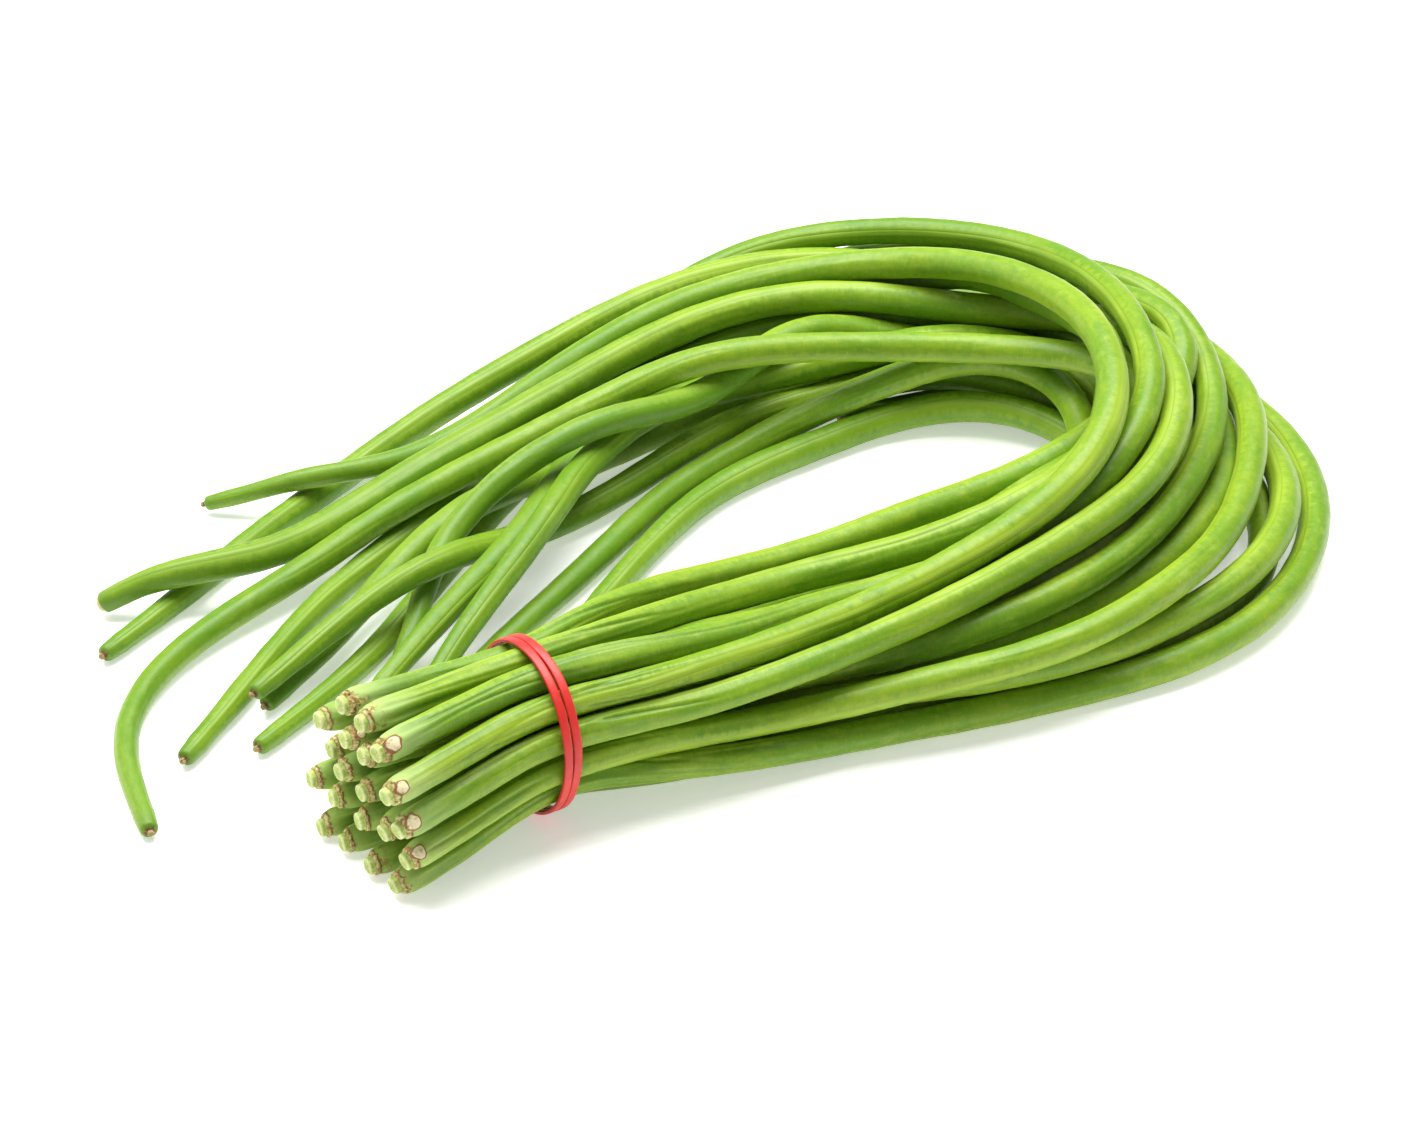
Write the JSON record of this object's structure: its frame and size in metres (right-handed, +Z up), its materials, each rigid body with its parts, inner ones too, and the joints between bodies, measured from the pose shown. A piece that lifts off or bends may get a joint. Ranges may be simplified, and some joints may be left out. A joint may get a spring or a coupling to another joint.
{
  "type": "yardlong bean bunch",
  "caption": "Bunch of fresh green yardlong beans tied with a red rubber band near the cut stem ends and bent back on itself in a loop",
  "frame": {"origin": "Centre of the bottom of the bounding box, on the surface the bunch lies on", "axes": "+Z up, away from the surface; the tied bundle points from the cut ends towards +X and a little to +Y, at 31 degrees from +X; the cut ends face -X and -Y"},
  "size_m": [0.332, 0.28, 0.0548],
  "materials": {
    "bean_skin": "Fresh pod skin, satin, stands in for plant tissue",
    "band_rubber": "Red stretched rubber, slightly shiny"
  },
  "bodies": {
    "root": {"pod_01": "bean_skin", "pod_02": "bean_skin", "pod_03": "bean_skin", "pod_04": "bean_skin", "pod_05": "bean_skin", "pod_06": "bean_skin", "pod_07": "bean_skin", "pod_08": "bean_skin", "pod_09": "bean_skin", "pod_10": "bean_skin", "pod_11": "bean_skin", "pod_12": "bean_skin", "pod_13": "bean_skin", "pod_14": "bean_skin", "pod_15": "bean_skin", "pod_16": "bean_skin", "pod_17": "bean_skin", "pod_18": "bean_skin", "pod_19": "bean_skin", "pod_20": "bean_skin", "rubber_band": "band_rubber"}
  },
  "joints": []
}
